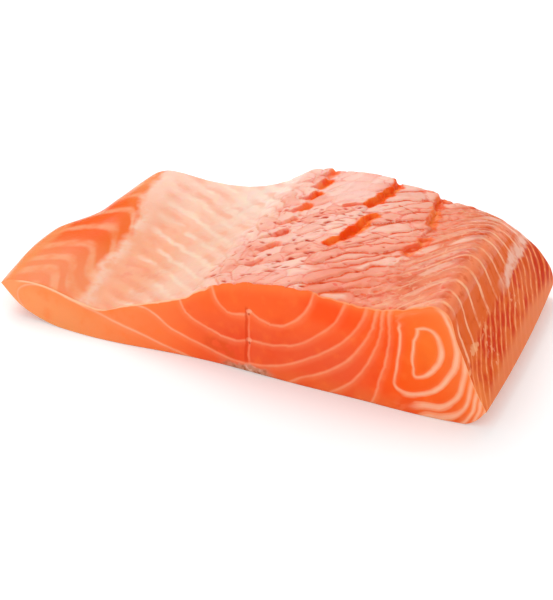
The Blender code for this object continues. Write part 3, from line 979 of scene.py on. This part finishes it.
class InnerFinish(Finish):
    """A finish of the inner face or the back edge, with the values that the parts of its colour share."""

    def __init__(self, name, **plain):
        super().__init__(name, **plain)
        for value in ("across", "along", *UPPER_VALUES):
            setattr(self, value, self.attribute(value))
        self.fine = self.noise(0.0030, 4)
        self.middling = self.noise(0.008, 3)
        self.coarse = self.noise(0.016, 2)
        self.past_line = (self.sheets - self.sheets.whole()) * FLAKE_PITCH + (self.fine - 0.5) * 1.3
        self.from_line = self.past_line.size()

    def membrane(self):
        """Peach, with soft pale streaks and pinker ones between them, which run as the sheets below do;
        painted sheen at the rear and painted highlights.
        """
        across, along = self.across, self.along
        wavy = self.sheets * 1.2 + (self.middling - 0.5) * 0.55 + (self.fine - 0.5) * 0.09
        off_edge = self.over_membrane.ramp(5, 12)
        between = (wavy + 0.6).to_line().ramp(0.35, 0.05) * self.coarse.ramp(0.6, 0.4) * off_edge
        streak = wavy.to_line().ramp(0.26, 0.02) * self.noise(0.015, 2).ramp(0.38, 0.58) * off_edge
        # Painted highlights: pale cream blotches along the membrane's edge.
        edge_highlight = self.over_membrane.ramp(8, 2) * self.middling.ramp(0.42, 0.62)
        return self.layers(
            top(253, 180, 146), top,
            # Paler towards the rear: partly the membrane's own paler colour, partly painted sheen.
            ((253, 208, 186), along.ramp(34, 88)),
            ((254, 212, 190), across.ramp(-50, -24) * 0.75),
            # A painted highlight: a near-white patch at the rear, next to the loin.
            ((255, 228, 212), across.ramp(-42, -24) * along.ramp(50, 80) * 0.8),
            ((250, 156, 124), between * 0.45),
            ((255, 224, 200), streak * 0.7),
            ((249, 150, 124), self.middling.ramp(0.54, 0.72) * self.coarse.ramp(0.60, 0.42) * 0.5),
            ((255, 218, 196), edge_highlight * 0.7),
        )

    def loin(self):
        """Pink flakes with redder creases, partly painted shade, and painted highlights and sheen; more
        orange towards the back.
        """
        across, along, fine, middling = self.across, self.along, self.fine, self.middling
        front = across.band(18, 30, 41, 53) * along.ramp(42, 14)
        by_corner = across.ramp(46, 56) * along.ramp(9, 3)
        # Painted highlight: the crests of some flakes are paler.
        pale = self.tone.ramp(0.45, 0) * self.inside.ramp(0.2, 0.9)
        strong = (0.44 + across.ramp(10, 34) * 0.41) * across.ramp(66, 42, 0.45)
        crease = (self.inside + (fine - 0.5) * 0.2).ramp(0.16, 0.02) * fine.ramp(0.40, 0.56)
        net = self.net()
        by_bones = (across + (middling - 0.5) * 20).ramp(-26, -10) * across.ramp(36, 22)
        cracks = net * self.noise(0.006, 2).ramp(0.50, 0.62) * by_bones
        raw_spots = self.noise(0.0042, 2).ramp(0.64, 0.76) * across.ramp(10, 26)
        # Painted sheen: a milky pale patch on the loin at the rear, between the bone row and the gashes.
        beside = (across - 14) / 10.0
        behind = (along - 76) / 18.0
        painted_sheen = (beside * beside + behind * behind).ramp(1, 0.2) * fine.ramp(0.2, 0.5)
        by_shoulder = (across + (fine - 0.5) * 8).ramp(44, 58)
        edges = self.from_line.ramp(1, 0.2) * middling.ramp(0.25, 0.6)
        threads = edges.most(net * fine.ramp(0.4, 0.6) * 0.8)
        return self.layers(
            top(253, 200, 183), top,
            ((252, 198, 183), along.ramp(50, 92)),
            ((253, 176, 150), across.ramp(20, 54) * 0.85),
            ((238, 132, 96), across.ramp(42, 58) * 0.85),
            ((240, 122, 88), front * 0.6),
            ((252, 184, 152), by_corner * 0.6),
            ((248, 146, 118), self.tone.ramp(0.4, 1) * 0.45),
            ((254, 210, 190), pale * 0.6),
            ((246, 128, 98), middling.ramp(0.54, 0.74) * 0.4),
            # Redder in the hollows of the relief and in the creases between flakes: partly the flesh's own
            # colour, partly painted shade.
            ((251, 122, 86), self.hollow.ramp(0.02, 0.20) * strong),
            ((238, 92, 62), crease * strong * 0.65),
            ((240, 108, 88), cracks * 0.4),
            ((246, 86, 52), raw_spots * 0.7),
            ((252, 208, 195), painted_sheen * 0.5),
            ((222, 100, 60), middling.ramp(0.48, 0.68) * by_shoulder * 0.55),
            ((252, 196, 162), threads * by_shoulder * 0.6),
        )

    def net(self):
        """Fine lines round small uneven cells."""
        shift = self.node("ShaderNodeTexNoise", {}, {"Vector": self.place, "Scale": 300.0}, "Color")
        moved = {0: shift, 1: (0.003, 0.003, 0), 2: self.place}
        warped = self.node("ShaderNodeVectorMath", {"operation": "MULTIPLY_ADD"}, moved)
        cell = {"Vector": warped, "Scale": (1 / 0.006, 1 / 0.0036, 1 / 0.006)}
        sockets = {"Vector": self.node("ShaderNodeMapping", {}, cell), "Scale": 1.0}
        edges = self.node("ShaderNodeTexVoronoi", {"feature": "DISTANCE_TO_EDGE"}, sockets)
        return edges.ramp(0.09, 0.01)

    def strip(self):
        """The bare belly edge: orange with a soft pale band over each line, paler at the cuts and the tip."""
        along = self.along
        wider = along.ramp(34, 12) * 0.9
        line = (self.from_line - wider).ramp(2.5, 0.3) * self.middling.ramp(0.25, 0.6)
        from_tip = self.across + (self.fine - 0.5) * 2.0
        return self.layers(
            top(255, 116, 24), top,
            ((250, 124, 72), self.over_membrane.ramp(-10, -2)),
            ((253, 158, 116), along.ramp(40, 12) * 0.85),
            ((254, 160, 112), along.ramp(58, 80) * 0.8),
            ((254, 156, 106), self.past_line.band(-1.6, -0.2, 0.3, 3.6) * 0.35),
            ((255, 192, 154), line * 0.5),
            ((253, 158, 106), from_tip.ramp(-83, -86.5) * 0.85),
        )

    def back_edge(self):
        """Brownish orange: steep lines above the fat seam, slanting stripes below it and a plain foot;
        painted glints low on the side and a painted highlight by the front cut.
        """
        past, along, over_seam = self.past_shoulder, self.along, self.over_seam
        fine, middling = self.fine, self.middling
        line = self.from_line.ramp(1.1, 0.25) * middling.ramp(0.25, 0.6)
        upper = self.layers(
            side(237, 134, 94), side,
            ((222, 102, 54), past.ramp(1, 8)),
            ((208, 82, 40), fine.ramp(0.5, 0.72) * 0.6),
            ((250, 190, 150), line * 0.75),
        )
        stripe_at = (along - over_seam * 1.05) / SIDE_PITCH + (self.noise(0.009, 2) - 0.5) * 0.7
        stripe = (stripe_at + (fine - 0.5) * 0.16).to_line()
        lower = self.layers(
            side(206, 66, 18), side,
            ((220, 100, 48), middling.ramp(0.4, 0.62)),
            ((200, 62, 10), along.ramp(56, 86) * 0.8),
            ((232, 126, 74), stripe.ramp(0.28, 0.10) * 0.7),
            ((248, 180, 134), stripe.ramp(0.11, 0.02) * fine.ramp(0.38, 0.6) * 0.6),
        )
        foot = over_seam + (middling - 0.5) * 4.0
        # Painted glints: clusters of small pale specks low on the side, where the wet sheen catches the
        # light.
        glint_zone = over_seam.band(-14, -10, -6, -3) * along.band(12, 20, 44, 54)
        painted_glints = self.noise(0.0016, 2).ramp(0.56, 0.63) * self.coarse.ramp(0.40, 0.56) * glint_zone
        tint = self.layers(
            self.blend(upper, lower, (over_seam + (fine - 0.5) * 5).ramp(1, -1.5)), side,
            ((228, 128, 84), foot.ramp(-12.5, -16.5) * 0.9),
            ((252, 206, 164), painted_glints * 0.9),
        )
        from_seam = (over_seam + (fine - 0.5) * 3.0 + (middling - 0.5) * 3).size()
        fat = self.blend(side(242, 176, 128), side(234, 176, 154), along.ramp(26, 44))
        blotches = self.noise(0.0045, 3).ramp(0.36, 0.56, 0.35, 1)
        strength = along.ramp(38, 52) * blotches + along.ramp(34, 14) * fine.ramp(0.5, 0.6) * 0.6
        # Painted highlight: lighter orange low on the side, next to the front cut.
        corner_highlight = (along + (fine - 0.5) * 5).ramp(9, 1) * over_seam.ramp(-1, -7)
        tint = self.blend(tint, fat, from_seam.ramp(2.5, 1) * strength)
        return self.blend(tint, side(250, 150, 90), corner_highlight * 0.4)

    def finished(self, tint, roughness, coat):
        """The material in this colour, with the fine grain of the flesh."""
        self.feed("Coat Weight", self.middling.ramp(*coat))
        return self.surface(tint, roughness, self.noise(0.0012, 3) * 0.3 + self.fine * 0.5, 0.0004, 0.7)


def inner_finish():
    """The inner face: membrane on the belly, pink flakes on the loin, and the back edge past the shoulder."""
    f = InnerFinish("inner_flesh", **WET, **{**GLOW, "Subsurface_Weight": 0.5})
    over_join = f.across + (f.coarse - 0.5) * 26.0 + (f.fine - 0.5) * 12.0
    flesh = f.blend(f.membrane(), f.loin(), over_join.ramp(-22, -2))
    over_edge = f.over_membrane + (f.noise(0.006, 2) - 0.5) * 7.0
    flesh = f.blend(flesh, f.strip(), over_edge.ramp(2.6, -1.8))
    flesh = f.blend(flesh, f.back_edge(), (f.past_shoulder + (f.fine - 0.5) * 4).ramp(-1, 2))
    # Darker red in the pits, hairlines and nicks, which lie sunk in the surface: partly painted shade.
    flesh = f.blend(flesh, top(214, 84, 66), f.pits.ramp(0.1, 0.7) * 0.8)
    raw = f.blend(in_gash(252, 130, 62), in_gash(238, 88, 40), f.noise(0.006, 3).ramp(0.35, 0.6))
    flesh = f.blend(flesh, raw, f.gash)
    return f.finished(flesh, (0.30, 0.48), (0.3, 0.7, 0.05, 0.35))


def back_edge_finish():
    """The back edge's side, duller than the inner face."""
    f = InnerFinish("back_edge_flesh", **DULL, **GLOW)
    return f.finished(f.back_edge(), (0.34, 0.52), (0.4, 0.7, 0, 0.15))


def skin_side_finish():
    """The under side after skinning: silvery pink, with a brown band along its middle."""
    f = Finish("skinned_side", **WET, **GLOW)
    bent = (f.axis("X") - 0.010).size()
    sheets = (f.axis("Y") + bent * 0.7) / (FLAKE_PITCH * MM) + (f.noise(0.012, 2) - 0.5) * 0.5
    band = (bent + (f.noise(0.006, 3) - 0.5) * 0.012).ramp(0.014, 0.006)
    tint = f.layers(
        colour(238, 150, 112), colour,
        ((228, 176, 156), f.noise(0.008, 3).ramp(0.35, 0.65)),
        ((244, 196, 172), sheets.to_line().ramp(0.14, 0.03) * 0.6),
        ((150, 92, 74), band * 0.75),
        ((232, 132, 88), f.axis("Z").ramp(0.0004, 0.0040) * 0.8),
    )
    return f.surface(tint, (0.30, 0.48), f.noise(0.0015, 3), 0.0003, 0.7)


FLOOR_GAP = 0.0002


def floor():
    mesh = bpy.data.meshes.new("floor")
    bm = bmesh.new()
    bmesh.ops.create_grid(bm, x_segments=1, y_segments=1, size=3.0)
    bmesh.ops.translate(bm, vec=(0.0, 0.0, -FLOOR_GAP), verts=bm.verts)
    bm.to_mesh(mesh)
    bm.free()
    paint = Finish(
        "floor_white", Base_Color=(0.95, 0.95, 0.95, 1.0), Roughness=0.9, Specular_IOR_Level=0.0,
        Emission_Color=(1.0, 1.0, 1.0, 1.0), Emission_Strength=0.12,
    )
    mesh.materials.append(paint.material)
    in_scene("floor", mesh)


# Reflections see a dimmer room than the one that lights the flesh, as between black cards.
ROOM_LIGHT = 0.80
ROOM_REFLECTION = 0.15
# What the softboxes point at, and the place, size and power of each.
LIT_PLACE = (0.0, 0.0, 0.02)
SOFTBOXES = (
    ("key light", (-0.8, 0.5, 1.3), 1.0, 7.5),
    ("back light", (-0.55, 1.2, 0.75), 0.6, 2.5),
    ("front fill", (-0.3, -1.3, 0.6), 1.2, 3.0),
)


def studio():
    world = bpy.data.worlds.new("white studio")
    bpy.context.scene.world = world
    world.use_nodes = True
    tree = world.node_tree
    background = tree.nodes["Background"]
    background.inputs["Color"].default_value = (1.0, 1.0, 1.0, 1.0)
    ray = tree.nodes.new("ShaderNodeLightPath")
    strength = tree.nodes.new("ShaderNodeMapRange")
    strength.inputs["To Min"].default_value = ROOM_LIGHT
    strength.inputs["To Max"].default_value = ROOM_REFLECTION
    tree.links.new(ray.outputs["Is Glossy Ray"], strength.inputs["Value"])
    tree.links.new(strength.outputs["Result"], background.inputs["Strength"])
    for name, place, size, power in SOFTBOXES:
        light = bpy.data.lights.new(name, "AREA")
        light.shape = "DISK"
        light.size = size
        light.energy = power
        lamp = in_scene(name, light)
        lamp.location = place
        lamp.rotation_euler = (Vector(LIT_PLACE) - Vector(place)).to_track_quat("-Z", "Y").to_euler()
    bpy.context.scene.view_settings.view_transform = "Standard"


# The camera stands 30 degrees above the table, turned 24.8 degrees, and has a long lens.
CAMERA_PLACE = (0.2174, -0.4747, 0.3030)
CAMERA_ELEVATION = math.radians(30.0)
CAMERA_TURN = math.radians(24.8)
CAMERA_LENS = 101.2


def camera():
    data = bpy.data.cameras.new("camera")
    data.lens = CAMERA_LENS
    data.sensor_width = 36.0
    data.clip_start = 0.01
    eye = in_scene("camera", data)
    eye.location = CAMERA_PLACE
    eye.rotation_euler = (math.pi / 2 - CAMERA_ELEVATION, 0.0, CAMERA_TURN)
    bpy.context.scene.camera = eye


def main():
    flesh = flesh_piece([cut_finish(), inner_finish(), back_edge_finish(), skin_side_finish()])
    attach(flesh, "root")
    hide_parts("salmon")
    floor()
    studio()
    camera()


main()
